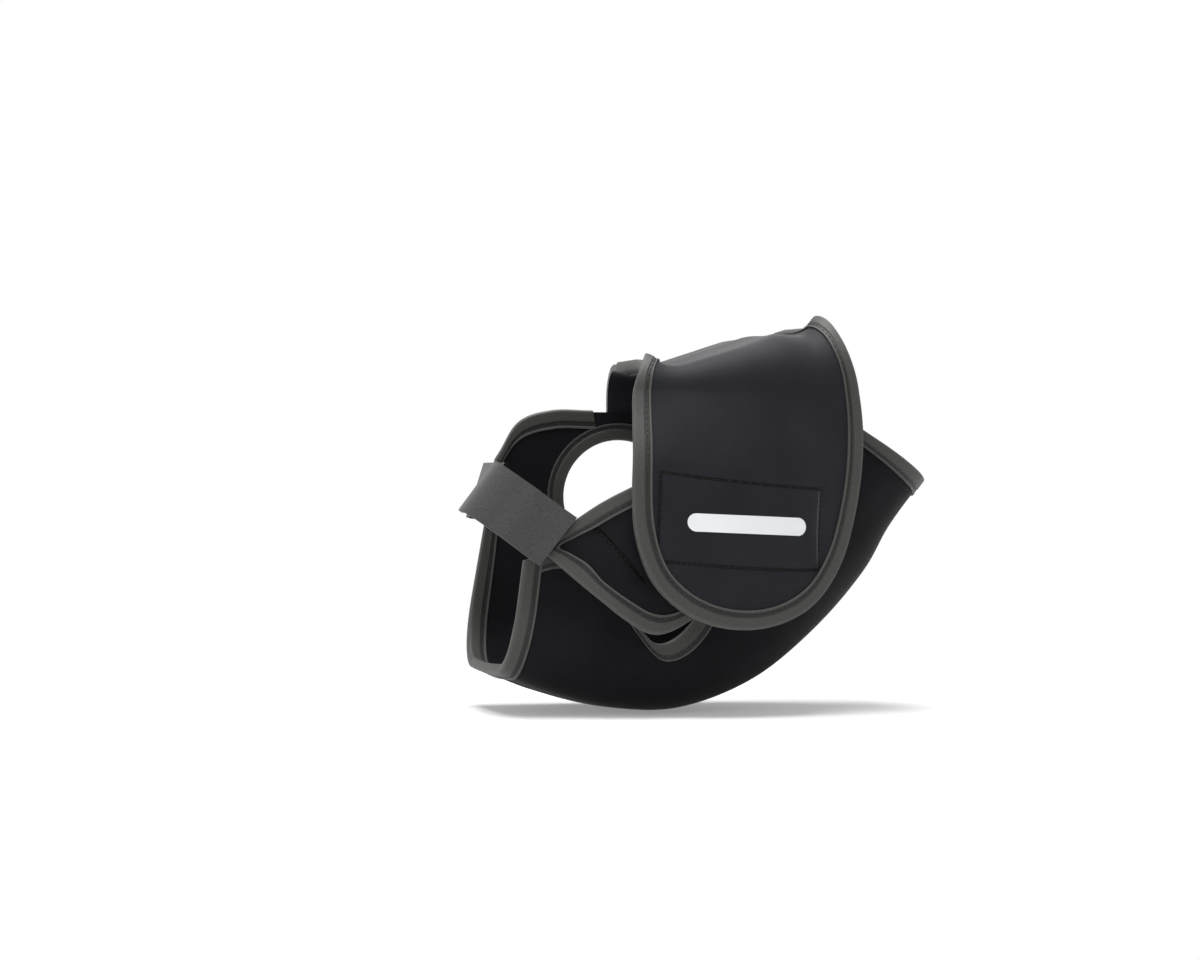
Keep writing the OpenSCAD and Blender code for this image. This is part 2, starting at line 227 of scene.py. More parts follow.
STRAP_DIR = (math.cos(STRAP_ANGLE), -math.sin(STRAP_ANGLE))
STRAP_PATH = [(STRAP_DIR[0] * s - STRAP_REACH, y, 5 + STRAP_DIR[1] * s) for s, y in
              ((42, -70), (31, -70), (19, -69), (9, -67), (1.5, -61), (0.3, -52))] + [
    (-89.5, -38, 5.5), (-82.5, -10, 5), (-77, 19, 4), (-74.5, 44, 3), (-69.3, 57.2, 2.5), (-65, 61.8, 2),
    (-58, 61.2, 2), (-50, 61.2, 2), (-42, 61.2, 2)]
STRAP_FAR = FAR_Y + BOUND_H + GAP + STRAP_T / 2


def strap_at(a, b):
    cx, cy, cz = curve(STRAP_PATH, a)
    tilt = STRAP_ANGLE * (1 - 0.6 * ease((cy + 10) / 70))
    x = cx + math.sin(tilt) * (b - 0.5) * STRAP_W
    z = cz + math.cos(tilt) * (b - 0.5) * STRAP_W
    near = tongue_y(x, z) + BOUND_H + PATCH_T + 5 * GAP + STRAP_T / 2
    y = mix(cy, -near, ease((cx + 84) / 10)) if cy < 0 else mix(cy, STRAP_FAR, ease((cx + 70) / 7))
    return Vector((x, y, z))


# Low folds of the worn cloth, in millimetres along the normal: centre, direction along, length, width and
# height
FOLDS = [
    ((18, -66, 57), (1, 0.1, 0.2), 40, 9, 1.2), ((52, -56, 62), (1, 0.2, 0.3), 34, 10, -0.9),
    ((5, -74, 38), (1, 0, -0.5), 26, 11, 0.6), ((70, -60, 30), (0.3, 0, 1), 34, 8, 0.8),
    ((40, -84, -46), (1, 0, 0.25), 30, 7, 0.6), ((-5, -85, -20), (0.4, 0, 1), 34, 8, -0.6),
    ((-45, -60, -60), (1, 0, -0.5), 26, 8, 0.9), ((-62, -60, -68), (1, 0, 0.1), 18, 6, -0.8),
    ((70, -52, -40), (1, 0, 0.8), 30, 9, 0.8), ((100, -48, -8), (1, 0, 0.9), 22, 7, -0.8),
    ((45, -50, -78), (1, 0, 0.55), 36, 9, -0.9), ((40, 0, 74), (1, 0, 0.3), 30, 14, 0.9),
    ((-20, 55, -40), (1, 0, 0.3), 30, 12, 0.8), ((60, 50, -30), (1, 0, 0.8), 34, 10, 0.9)]
FOLDS = [(Vector(c), Vector(d).normalized(), a, w, h) for c, d, a, w, h in FOLDS]


def folds(p):
    total = 0.0
    for c, d, a, w, h in FOLDS:
        r = p - c
        s = r.dot(d)
        o2 = r.length_squared - s * s
        e = (s / a) ** 2 + o2 / (w * w)
        if e < 9:
            total += h * math.exp(-e)
    return total


def slope(s, u, v, e, lo=None, hi=None):
    u0, u1 = (u - e, u + e) if lo is None else (max(u - e, lo), min(u + e, hi))
    v0, v1 = (v - e, v + e) if lo is None else (max(v - e, lo), min(v + e, hi))
    return (s(u1, v) - s(u0, v)).cross(s(u, v1) - s(u, v0)).normalized()


def folded(s, e, lo=None, hi=None, amount=1.0):
    """The chart s with the low folds on it, and (point, normal) on that chart."""
    def at(u, v):
        p = s(u, v)
        return p + slope(s, u, v, e, lo, hi) * (-folds(p) * amount)

    def pn(u, v):
        return at(u, v), slope(at, u, v, e, lo, hi)
    return pn


# Stitched lines that sink into the cloth where the hook patches are sewn on
PATCH_MID, PATCH_TURN = (27.0, -10.5), math.radians(-4.0)
SEAM_LOW = ((-16.4, -29.2), (65.5, -34.0))
SEAM_HIGH = ((-14.3, 11.7), (66.0, 4.0))


def patch_point(a, b):
    """Point of the stitched rectangle's face, which bows a little where the cloth pulls."""
    x, z = mixp(mixp(*SEAM_LOW, a), mixp(*SEAM_HIGH, a), b)
    return x - 1.0 * math.sin(math.pi * b) * (a - 0.1), z - 0.9 * math.sin(math.pi * a)


def patch_flat(a, b):
    """Point (x, z) of the flap's hook patch at the shares a along and b up."""
    c, d = math.cos(PATCH_TURN), math.sin(PATCH_TURN)
    x, z = (a - 0.5) * PATCH_W, (b - 0.5) * PATCH_H
    return PATCH_MID[0] + x * c - z * d, PATCH_MID[1] + x * d + z * c


FLAP_SEAM = [patch_point(i / 12, 0) for i in range(12)] + [patch_point(1, i / 6) for i in range(6)] + \
            [patch_point(1 - i / 12, 1) for i in range(12)] + [patch_point(0, 1 - i / 6) for i in range(7)]
SEAM_DEPTH = 0.7
TONGUE_SEAM = [(-43.0, -12.5), (-35.0, -21.5), (-27.5, -30.0), (-20.5, -38.0)]


def seg_dist(x, z, line):
    best = 1e9
    for (ax, az), (bx, bz) in zip(line, line[1:]):
        dx, dz = bx - ax, bz - az
        t = clamp(((x - ax) * dx + (z - az) * dz) / (dx * dx + dz * dz), 0, 1)
        best = min(best, math.hypot(x - ax - t * dx, z - az - t * dz))
    return best


def sunk(x, q, line, depth):
    """How far the thread pulls the cloth in at (x, q)."""
    if q > CREST_Z:
        return 0.0
    d = seg_dist(x, q, line)
    return depth * math.exp(-(d / 1.9) ** 2) - 0.25 * math.exp(-((d - 5.0) / 2.6) ** 2)


def flap_base(x, q):
    p = flap_at(x, q)
    return p + Vector((0, 1, 0)) * sunk(x, q, FLAP_SEAM, SEAM_DEPTH)


def tongue_base(x, z):
    return tongue_at(x, z) + Vector((0, 1, 0)) * sunk(x, z, TONGUE_SEAM, SEAM_DEPTH)


# Charts of the pieces. SHARE and STEP are the steps over which their slopes are taken. The smooth ones carry
# the tapes, which don't follow the sunk seams
SHARE, STEP = 0.002, 0.5
body_pn = folded(body_at, SHARE, 0.0, 1.0)
flap_pn = folded(flap_base, STEP, amount=-1.0)
tongue_pn = folded(tongue_base, STEP, amount=-0.6)
flap_smooth = folded(flap_at, STEP, amount=-1.0)
tongue_smooth = folded(tongue_at, STEP, amount=-0.6)
strap_pn = folded(strap_at, SHARE, 0.0, 1.0, amount=0.0)


def edge_step(u, v, du, dv):
    """Share of u or v that one tape width takes at the border of the body."""
    e = SHARE
    return TAPE_W * e / (body_at(u + du * e, v + dv * e) - body_at(u, v)).length


def u_in(v):
    return edge_step(0.0, v, 1, 0), 1 - edge_step(1.0, v, -1, 0)


def v_in(u):
    return edge_step(u, 0.0, 0, 1), 1 - edge_step(u, 1.0, 0, -1)


def spread(k, n, lo, hi):
    """Place of grid line k of n: two lines in each border tape, the rest between lo and hi."""
    if k <= 2:
        return lo * k / 2
    if k >= n - 2:
        return 1 - (1 - hi) * (n - k) / 2
    return lo + (hi - lo) * (k - 2) / (n - 4)


def over(s):
    """Place on the flap's chart at share s of the run over its top."""
    return CREST_Z + s * TOP_RUN


FLAP_EDGE = [(-5, over(1)), (-5, over(0.81)), (-5.4, over(0.64)), (-5.7, over(0.48)), (-8, over(0.33)),
             (-12, over(0.2)), (-16.6, over(0.093)), (-21.8, over(0.013)), (-23.8, 37), (-25.2, 22), (-26.4, 4),
             (-25.4, -17), (-19, -36), (-7, -49.5), (9.5, 2.5 - DROP), (29, -DROP), (48, 3.5 - DROP),
             (64.5, -47.3), (76.5, -30.5), (83.3, -10), (87.3, 11), (89.2, 32), (87.6, over(0)),
             (83.4, over(0.107)), (79.4, over(0.213)), (77.8, over(0.32)), (78.6, over(0.453)),
             (81.5, over(0.633)), (84, over(0.813)), (85.5, over(1))]
TONGUE_EDGE = [(76, 22), (58, 26), (36, 25), (12, 20), (-8, 12), (-24, 5), (-38, -2.5), (-49.5, -10.4),
               (-60, -17.5), (-66, -23.2), (-61.4, -27.5), (-54.6, -33.8), (-40.4, -46.6), (-29, -55.8),
               (-17.6, -62), (-7.5, -61), (6, -53.5), (24, -44), (44, -34), (60, -27), (76, -22)]


def flap_spine(t):
    return 34.0, mix(over(1), 4.2, clamp(min(t, 1 - t) * 58 / 22, 0, 1))


def tongue_spine(t):
    i = clamp(min(t, 1 - t) * 40, 0, 16)
    return 76 - 7.1 * i, mix(0, -22, ease(i / 12))


def leaf_at(edge, spine, t, mm):
    """Chart point mm in from the outline at share t, towards the spine; mm None is the spine itself."""
    a, b = curve(edge, t), spine(t)
    if mm is None:
        return b
    return mixp(a, b, min(mm / math.hypot(a[0] - b[0], a[1] - b[1]), 0.9))


def clean_mesh(mesh):
    """Weld the vertices and turn the faces outward."""
    bm = bmesh.new()
    bm.from_mesh(mesh)
    bmesh.ops.remove_doubles(bm, verts=bm.verts, dist=1e-7)
    bmesh.ops.recalc_face_normals(bm, faces=bm.faces)
    bmesh.ops.triangulate(bm, faces=[f for f in bm.faces if len(f.verts) > 4])
    bm.to_mesh(mesh)
    bm.free()


def finish_mesh(name, verts, faces, slot_name, mat, smooth=50, painted_light_values=None):
    mesh = bpy.data.meshes.new(name)
    mesh.from_pydata([tuple(c * MM for c in v) for v in verts], [], faces)
    # Optional per-vertex painted light values, kept as a point attribute that the tape material reads
    if painted_light_values:
        mesh.attributes.new("painted_tape_light", "FLOAT", "POINT").data.foreach_set("value", painted_light_values)
    mesh.validate()
    obj = bpy.data.objects.new(name, mesh)
    bpy.context.scene.collection.objects.link(obj)
    clean_mesh(mesh)
    for poly in mesh.polygons:
        poly.use_smooth = True
    mesh.set_sharp_from_angle(angle=math.radians(smooth))
    mesh.materials.append(mat)
    if slot_name:
        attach(obj, "root")
    return obj


def make_sheet(name, grid, t, slot_name, mat, off=0.0):
    n, m = len(grid) - 1, len(grid[0]) - 1
    c = (n + 1) * (m + 1)
    verts = [p + nn * h for h in (off + t / 2, off - t / 2) for row in grid for p, nn in row]

    def at(i, j):
        return i * (m + 1) + j
    faces = []
    for i in range(n):
        for j in range(m):
            q = (at(i, j), at(i + 1, j), at(i + 1, j + 1), at(i, j + 1))
            faces += [q, tuple(c + k for k in reversed(q))]
    loop = [at(i, 0) for i in range(n)] + [at(n, j) for j in range(m)] + \
           [at(i, m) for i in range(n, 0, -1)] + [at(0, j) for j in range(m, 0, -1)]
    faces += [(b, a, a + c, b + c) for a, b in zip(loop, loop[1:] + loop[:1])]
    return finish_mesh(name, verts, faces, slot_name, mat)


def make_leaf(name, pn, edge, spine, n, kmax, m, t, slot_name, mat):
    """A leaf whose ribs run from a U-shaped outline to a spine."""
    verts, faces, rows = [], [], []
    for i in range(n + 1):
        s = i / n
        a, b = curve(edge, s), spine(s)
        gone = min(TAPE_W / math.hypot(a[0] - b[0], a[1] - b[1]), 0.9)
        shares = [0, gone / 2] + [gone + (1 - gone) * k / (m - 2) for k in range(m - 1)]
        row = []
        for k, w in enumerate(shares):
            if k == m:
                twin = n - i
                if i > n / 2 and twin <= kmax:
                    row.append(rows[twin][m])
                    continue
                if kmax < i <= n - kmax:
                    row.append(rows[kmax][m])
                    continue
            row.append(len(verts) // 2)
            p, nn = pn(*mixp(a, b, w))
            verts += [p + nn * (t / 2), p - nn * (t / 2)]
        rows.append(row)
    for side in (0, 1):
        for i in range(n):
            for k in range(m):
                q = [rows[i][k], rows[i + 1][k], rows[i + 1][k + 1], rows[i][k + 1]]
                q = [2 * v + side for j, v in enumerate(q) if v != q[j - 1]]
                if len(q) > 2:
                    faces.append(tuple(q))
    loop = [rows[i][0] for i in range(n + 1)] + rows[n][1:] + rows[0][m - 1:0:-1]
    faces += [(2 * a, 2 * b, 2 * b + 1, 2 * a + 1) for a, b in zip(loop, loop[1:] + loop[:1])]
    return finish_mesh(name, verts, faces, slot_name, mat)


# Folded ribbed tape along a border: at(t, f) gives (point, normal) at share f of the tape's width in.
# From its fold in, the tape has a bead, a band of fine ribs, a sunk channel with the stitches and a
# narrow selvedge
ACROSS = [1.0, 0.985, 0.96, 0.93, 0.9, 0.87, 0.84] + [0.8 - 0.04 * k for k in range(21)]
CHANNEL = (0.56, 0.88)


def in_channel(f):
    lo, hi = CHANNEL
    return ease((f - lo) / 0.08) * (1 - ease((f - hi + 0.04) / 0.05))


def rib(f):
    """How far the tape's face lies below its full thickness."""
    fine = 0.1 * (0.5 - 0.5 * math.cos(2 * math.pi * 9 * f))
    return fine + 0.42 * in_channel(f) + (0.45 if f > 0.99 else 0.0)


def tape_shade_and_highlight(f):
    """Painted light across the tape, from 0 in the stitched channel to 1 on the selvedge and the bead: the
    channel is darker partly for its dark thread and partly as painted shade in its recess, and the bead and
    selvedge are lighter as painted highlights on the raised edges.
    """
    edge = max(1 - ease(f / 0.16), ease((f - 0.86) / 0.06))
    return 0.62 * (1 - in_channel(f)) + 0.38 * edge


def make_tape(name, at, t0, t1, step, slot_name, mat, closed=False):
    probe = [at(mix(t0, t1, k / 60), 0)[0] for k in range(61)]
    length = sum((b - a).length for a, b in zip(probe, probe[1:]))
    n = max(int(length / step), 8)
    verts, faces, painted_light_per_vertex = [], [], []
    for i in range(n if closed else n + 1):
        t = mix(t0, t1, i / n)
        pts = [at(t, f) for f in ACROSS]
        a, na = pts[-1]
        b, nb = pts[0]
        o = a - b
        o = (o - na * o.dot(na)).normalized()
        ring = [p + nn * (BOUND_H - rib(f)) for f, (p, nn) in zip(ACROSS, pts)]
        ring += [a + na * (BOUND_H * math.cos(w)) + o * ((GAP + TAPE_T) * math.sin(w))
                 for w in (math.pi * k / 8 for k in range(1, 8))]
        ring += [p - nn * (BOUND_H - rib(f)) for f, (p, nn) in zip(reversed(ACROSS), reversed(pts))]
        ring += [b - nb * SEAT_H, a - na * SEAT_H + o * GAP, a + na * SEAT_H + o * GAP, b + nb * SEAT_H]
        r = len(ring)
        verts += ring
        # Painted light per vertex: the fold round the outer edge takes the bead's painted highlight, and the
        # hidden seat takes a middle value
        painted_light_values = [tape_shade_and_highlight(f) for f in ACROSS]
        painted_light_per_vertex += painted_light_values + [tape_shade_and_highlight(0.0)] * 7 + painted_light_values[::-1] + [0.5] * 4
    total = len(verts)
    for i in range(n):
        for k in range(r):
            a, b = i * r + k, i * r + (k + 1) % r
            faces.append((a, b, (b + r) % total, (a + r) % total))
    if not closed:
        h = len(ACROSS)
        for base in (0, n * r):
            inner = [base + r - 1] + [base + r - 2] * (h - 1)
            outer = [base + k for k in range(h)]
            for k in range(h - 1):
                faces.append(tuple(dict.fromkeys((outer[k], outer[k + 1], inner[k + 1], inner[k]))))
            mid = list(range(base + h - 1, base + h + 8))
            for k in range(len(mid) - 1):
                near = base + r - 2 if k < 4 else base + r - 3
                nxt = base + r - 2 if k + 1 < 4 else base + r - 3
                faces.append(tuple(dict.fromkeys((mid[k], mid[k + 1], nxt, near))))
            low = [base + h + 7 + k for k in range(h)]
            for k in range(h - 1):
                faces.append((low[k], low[k + 1], base + r - 3))
            faces.append((low[h - 1], base + r - 4, base + r - 3))
    return finish_mesh(name, verts, faces, slot_name, mat, 60, painted_light_per_vertex), length


def body_edge(side):
    """Tape chart on one of the body's borders: t is u or v along it."""
    def at(t, f):
        if side == "drive":
            return body_pn(t, f * v_in(t)[0])
        if side == "front":
            return body_pn(1 - f * (1 - u_in(t)[1]), t)
        # the rear border, t from 0 at its lower corner to 1 at the far corner, then on along the far top
        v1 = 1 - v_in(0.0)[1]
        u1 = u_in(1.0)[0]
        if t <= 1:
            return body_pn(f * u_in(t)[0], min(t, 1 - f * v1))
        u = t - 1
        return body_pn(max(u, f * u1), 1 - f * (1 - v_in(u)[1]))
    return at


def leaf_edge(pn, edge, spine):
    def at(t, f):
        return pn(*leaf_at(edge, spine, t, f * TAPE_W))
    return at


def hole_edge(t, f):
    a, r = 2 * math.pi * t, HOLE_R + 0.95 + f * (TAPE_W - 0.95)
    return Vector((r * math.cos(a), FAR_Y, r * math.sin(a))), Vector((0, 1, 0))


def thread(name, points, mat, pitch=3.1, size=2.0, r=0.24):
    """Running stitches along points, a list of (point, normal)."""
    verts, faces = [], []
    run, want = 0.0, pitch / 2
    for (p, n), (q, _) in zip(points, points[1:]):
        seg = (q - p).length
        while seg > 1e-9 and run + seg >= want:
            c = p.lerp(q, (want - run) / seg)
            d = (q - p).normalized()
            s = n.cross(d).normalized()
            base = len(verts)
            for along, w in ((-0.5, 0.35), (-0.3, 0.9), (0.0, 1.0), (0.3, 0.9), (0.5, 0.35)):
                for k in range(6):
                    a = math.pi * k / 3
                    verts.append(c + d * (along * size) + s * (r * w * math.cos(a))
                                 + n * (r * w * math.sin(a) * 0.8 - (0.12 if abs(along) > 0.4 else 0)))
            for ring in range(4):
                for k in range(6):
                    a, b = base + ring * 6 + k, base + ring * 6 + (k + 1) % 6
                    faces.append((a, b, b + 6, a + 6))
            faces.append(tuple(base + k for k in range(5, -1, -1)))
            faces.append(tuple(base + 24 + k for k in range(6)))
            want += pitch
        run += seg
    return finish_mesh(name, verts, faces, "binding_tape", mat, 80)


# Where the tape's stitches lie: their share of its width in, and their depth below its face
STITCH_AT, STITCH_SINK = 0.74, 0.38


def stitch_tape(name, at, t0, t1, length, mat, sides):
    n = int(length / 1.5)
    pts = [at(mix(t0, t1, k / n), STITCH_AT) for k in range(n + 1)]
    for side in sides:
        thread(name + ("_out" if side > 0 else "_in"),
               [(p + nn * (side * (BOUND_H - STITCH_SINK)), nn * side) for p, nn in pts], mat)


# Materials
def new_material(name, color, rough, sheen=0.0, sheen_rough=0.5, specular=0.4):
    mat = bpy.data.materials.new(name)
    mat.use_nodes = True
    nodes, links = mat.node_tree.nodes, mat.node_tree.links
    bsdf = nodes["Principled BSDF"]
    bsdf.inputs["Base Color"].default_value = (*color, 1)
    bsdf.inputs["Roughness"].default_value = rough
    bsdf.inputs["Sheen Weight"].default_value = sheen
    bsdf.inputs["Sheen Roughness"].default_value = sheen_rough
    bsdf.inputs["Specular IOR Level"].default_value = specular
    return mat, nodes, links, bsdf


def noise(nodes, links, scale, detail=2.0, rough=0.5, stretch=None):
    tex = nodes.new("ShaderNodeTexNoise")
    tex.inputs["Scale"].default_value = scale
    tex.inputs["Detail"].default_value = detail
    tex.inputs["Roughness"].default_value = rough
    coord = nodes.new("ShaderNodeTexCoord")
    if stretch:
        mapping = nodes.new("ShaderNodeMapping")
        mapping.inputs["Scale"].default_value = stretch
        links.new(coord.outputs["Object"], mapping.inputs["Vector"])
        links.new(mapping.outputs["Vector"], tex.inputs["Vector"])
    else:
        links.new(coord.outputs["Object"], tex.inputs["Vector"])
    return tex


def math_node(nodes, links, op, a, b=None, c=None):
    node = nodes.new("ShaderNodeMath")
    node.operation = op
    for k, v in enumerate((a, b, c)):
        if v is None:
            continue
        if isinstance(v, (int, float)):
            node.inputs[k].default_value = v
        else:
            links.new(v, node.inputs[k])
    return node.outputs[0]


def tint(nodes, links, bsdf, fac, lo, hi, low=0.35, high=0.65):
    ramp = nodes.new("ShaderNodeValToRGB")
    ramp.color_ramp.elements[0].position = low
    ramp.color_ramp.elements[1].position = high
    ramp.color_ramp.elements[0].color = (*lo, 1)
    ramp.color_ramp.elements[1].color = (*hi, 1)
    links.new(fac, ramp.inputs["Fac"])
    links.new(ramp.outputs["Color"], bsdf.inputs["Base Color"])
    return ramp


def bump(nodes, links, bsdf, height, distance, strength=1.0):
    node = nodes.new("ShaderNodeBump")
    node.inputs["Distance"].default_value = distance
    node.inputs["Strength"].default_value = strength
    links.new(height, node.inputs["Height"])
    links.new(node.outputs["Normal"], bsdf.inputs["Normal"])
    return node


def near_line(nodes, links, sep, line, width):
    """1 on the line through the (x, z) points of line in millimetres, fading to 0 at width from it."""
    best = None
    for (ax, az), (bx, bz) in zip(line, line[1:]):
        ax, az, bx, bz = ax * MM, az * MM, bx * MM, bz * MM
        dx, dz = bx - ax, bz - az
        long2 = dx * dx + dz * dz
        px = math_node(nodes, links, "SUBTRACT", sep.outputs[0], ax)
        pz = math_node(nodes, links, "SUBTRACT", sep.outputs[2], az)
        dot = math_node(nodes, links, "MULTIPLY_ADD", pz, dz / long2,
                        math_node(nodes, links, "MULTIPLY", px, dx / long2))
        t = math_node(nodes, links, "MINIMUM", math_node(nodes, links, "MAXIMUM", dot, 0.0), 1.0)
        ox = math_node(nodes, links, "MULTIPLY_ADD", t, -dx, px)
        oz = math_node(nodes, links, "MULTIPLY_ADD", t, -dz, pz)
        d2 = math_node(nodes, links, "ADD", math_node(nodes, links, "MULTIPLY", ox, ox),
                       math_node(nodes, links, "MULTIPLY", oz, oz))
        best = d2 if best is None else math_node(nodes, links, "MINIMUM", best, d2)
    off = math_node(nodes, links, "DIVIDE", math_node(nodes, links, "SQRT", best), width * MM)
    return math_node(nodes, links, "SUBTRACT", 1.0, math_node(nodes, links, "MINIMUM", off, 1.0))


def knit(name, lo, hi, rough, sheen, specular, line=None):
    """Fine warp knit face laminated on foam rubber, with a little lint."""
    mat, nodes, links, bsdf = new_material(name, lo, rough, sheen, 0.3, specular)
    coord = nodes.new("ShaderNodeTexCoord")
    sep = nodes.new("ShaderNodeSeparateXYZ")
    links.new(coord.outputs["Object"], sep.inputs[0])
    rows = math_node(nodes, links, "SINE", math_node(nodes, links, "MULTIPLY", sep.outputs[0], 9000.0))
    cols = math_node(nodes, links, "SINE", math_node(nodes, links, "MULTIPLY", sep.outputs[2], 7000.0))
    loops = math_node(nodes, links, "MULTIPLY", rows, cols)
    fine = noise(nodes, links, 2200.0, 1.0)
    soft = noise(nodes, links, 35.0, 2.0)
    height = math_node(nodes, links, "ADD", math_node(nodes, links, "MULTIPLY", loops, 0.4), fine.outputs[0])
    ramp = tint(nodes, links, bsdf, soft.outputs[0], lo, hi, 0.3, 0.7)
    if line:
        outer = math_node(nodes, links, "LESS_THAN", sep.outputs[1], -DRIVE_Y * MM)
        sewn = math_node(nodes, links, "MULTIPLY", near_line(nodes, links, sep, line, SEAM_WIDE), outer)
        height = math_node(nodes, links, "MULTIPLY_ADD", sewn, -9.0, height)
        # Painted shade: along the stitched line the colour turns near-black, standing in for the shadow in the
        # sunk seam groove
        seam_groove_shade = nodes.new("ShaderNodeMix")
        seam_groove_shade.data_type = "RGBA"
        share = math_node(nodes, links, "MINIMUM", math_node(nodes, links, "MULTIPLY", sewn, 1.8), 1.0)
        links.new(share, seam_groove_shade.inputs[0])
        links.new(ramp.outputs["Color"], seam_groove_shade.inputs[6])
        seam_groove_shade.inputs[7].default_value = (0.0008, 0.0008, 0.001, 1)
        links.new(seam_groove_shade.outputs[2], bsdf.inputs["Base Color"])
    bump(nodes, links, bsdf, height, 0.00009, 0.7)
    return mat, nodes, links, bsdf, sep


SEAM_WIDE = 1.1
BODY_LOW, BODY_HIGH = (0.0036, 0.0037, 0.0048), (0.0056, 0.0057, 0.0072)
body_mat = knit("neoprene_body", BODY_LOW, BODY_HIGH, 0.72, 0.06, 0.1)[0]
tongue_mat = knit("neoprene_tongue", BODY_LOW, BODY_HIGH, 0.72, 0.06, 0.1, TONGUE_SEAM)[0]
flap_mat, f_nodes, f_links, f_bsdf, f_sep = knit("neoprene_flap", (0.0078, 0.0081, 0.0108),
                                                 (0.0112, 0.0116, 0.0147), 0.6, 0.4, 0.13, FLAP_SEAM)

# A plain reflective bar with round ends, printed on the outer face of the flap
BAR_X, BAR_Z, BAR_HALF, BAR_R, BAR_SLOPE = 28.0 * MM, -12.5 * MM, 25.5 * MM, 4.2 * MM, 0.045


def on_flap(op, a, b=None, c=None):
    return math_node(f_nodes, f_links, op, a, b, c)


bar_x = on_flap("SUBTRACT", f_sep.outputs[0], BAR_X)
bar_z = on_flap("ADD", on_flap("SUBTRACT", f_sep.outputs[2], BAR_Z), on_flap("MULTIPLY", bar_x, BAR_SLOPE))
past = on_flap("MAXIMUM", on_flap("SUBTRACT", on_flap("ABSOLUTE", bar_x), BAR_HALF), 0.0)
dist2 = on_flap("ADD", on_flap("MULTIPLY", past, past), on_flap("MULTIPLY", bar_z, bar_z))
inside = on_flap("LESS_THAN", dist2, BAR_R ** 2)
front = on_flap("LESS_THAN", f_sep.outputs[1], -0.055)
mask = on_flap("MULTIPLY", inside, front)
# This colour already holds the painted shade along the stitched seam line
cloth = f_bsdf.inputs["Base Color"].links[0].from_socket
blend = f_nodes.new("ShaderNodeMix")
blend.data_type = "RGBA"
f_links.new(mask, blend.inputs[0])
f_links.new(cloth, blend.inputs[6])
blend.inputs[7].default_value = (0.66, 0.67, 0.68, 1)
f_links.new(blend.outputs[2], f_bsdf.inputs["Base Color"])

tape_mat, t_nodes, t_links, t_bsdf = new_material("binding_tape", (0.02, 0.02, 0.018), 0.6, 0.08, 0.4)
weave = noise(t_nodes, t_links, 1500.0, 1.0)
bump(t_nodes, t_links, t_bsdf, weave.outputs[0], 0.00012, 0.8)
# The tape's colour is its weave noise plus the per-vertex painted light: painted shade in the stitched channel
# and painted highlights on the bead and selvedge
painted_tape_light = t_nodes.new("ShaderNodeAttribute")
painted_tape_light.attribute_name = "painted_tape_light"
shade = math_node(t_nodes, t_links, "MULTIPLY_ADD", weave.outputs[0], 0.5,
                  math_node(t_nodes, t_links, "MULTIPLY_ADD", painted_tape_light.outputs["Fac"], 0.75, -0.2))
tint(t_nodes, t_links, t_bsdf, shade, (0.007, 0.007, 0.0064), (0.056, 0.056, 0.052), 0.0, 1.0)

strap_mat, s_nodes, s_links, s_bsdf = new_material("strap_webbing", (0.03, 0.03, 0.031), 0.9, 0.12, 0.5)
fuzz = noise(s_nodes, s_links, 1700.0, 4.0, 0.7)
bump(s_nodes, s_links, s_bsdf, fuzz.outputs[0], 0.00025, 0.8)
tint(s_nodes, s_links, s_bsdf, fuzz.outputs[0], (0.022, 0.022, 0.022), (0.056, 0.056, 0.056), 0.3, 0.7)

hook_mat, h_nodes, h_links, h_bsdf = new_material("hook_tape", (0.012, 0.012, 0.012), 0.5)
hooks = h_nodes.new("ShaderNodeTexVoronoi")
hooks.inputs["Scale"].default_value = 700.0
h_coord = h_nodes.new("ShaderNodeTexCoord")
h_links.new(h_coord.outputs["Object"], hooks.inputs["Vector"])
bump(h_nodes, h_links, h_bsdf, hooks.outputs["Distance"], 0.0006, 1.0)

thread_mat = new_material("thread", (0.004, 0.004, 0.004), 0.6, 0.0)[0]


# Pieces
def fine_body_grid(nu, nv):
    rows = []
    for i in range(nu + 1):
        row = []
        for j in range(nv + 1):
            lo_u, hi_u = u_in(j / nv)
            u = spread(i, nu, lo_u, hi_u)
            lo_v, hi_v = v_in(i / nu)
            row.append(body_pn(u, spread(j, nv, lo_v, hi_v)))
        rows.append(row)
    return rows


def punch(obj, radius, y0, y1):
    """Cut a round hole along Y through obj."""
    middle = (0, (y0 + y1) / 2 * MM, 0)
    bpy.ops.mesh.primitive_cylinder_add(vertices=128, radius=radius * MM, depth=(y1 - y0) * MM,
                                        location=middle, rotation=(math.radians(90), 0, 0))
    cutter = bpy.context.object
    mod = obj.modifiers.new("hole", "BOOLEAN")
    mod.operation, mod.solver, mod.object = "DIFFERENCE", "EXACT", cutter
    cut = bpy.data.meshes.new_from_object(obj.evaluated_get(bpy.context.evaluated_depsgraph_get()))
    obj.modifiers.clear()
    obj.data = cut
    bpy.data.objects.remove(cutter)


body = make_sheet("body_panel_cloth", fine_body_grid(84, 96), SHEET_T, "neoprene_body", body_mat)
punch(body, HOLE_R + TAPE_T + GAP, FAR_Y - 6, FAR_Y + 6)
flap = make_leaf("top_flap_cloth", flap_pn, FLAP_EDGE, flap_spine, 232, 88, 34, SHEET_T,
                 "neoprene_flap", flap_mat)
tongue = make_leaf("tongue_cloth", tongue_pn, TONGUE_EDGE, tongue_spine, 160, 64, 16, SHEET_T,
                   "neoprene_body", tongue_mat)
strap = make_sheet("wrap_strap_cloth", [[strap_pn(i / 150, j / 12) for j in range(13)] for i in range(151)],
                   STRAP_T, "strap_webbing", strap_mat)
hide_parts("body_panel")
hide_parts("top_flap")
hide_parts("tongue")
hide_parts("wrap_strap")

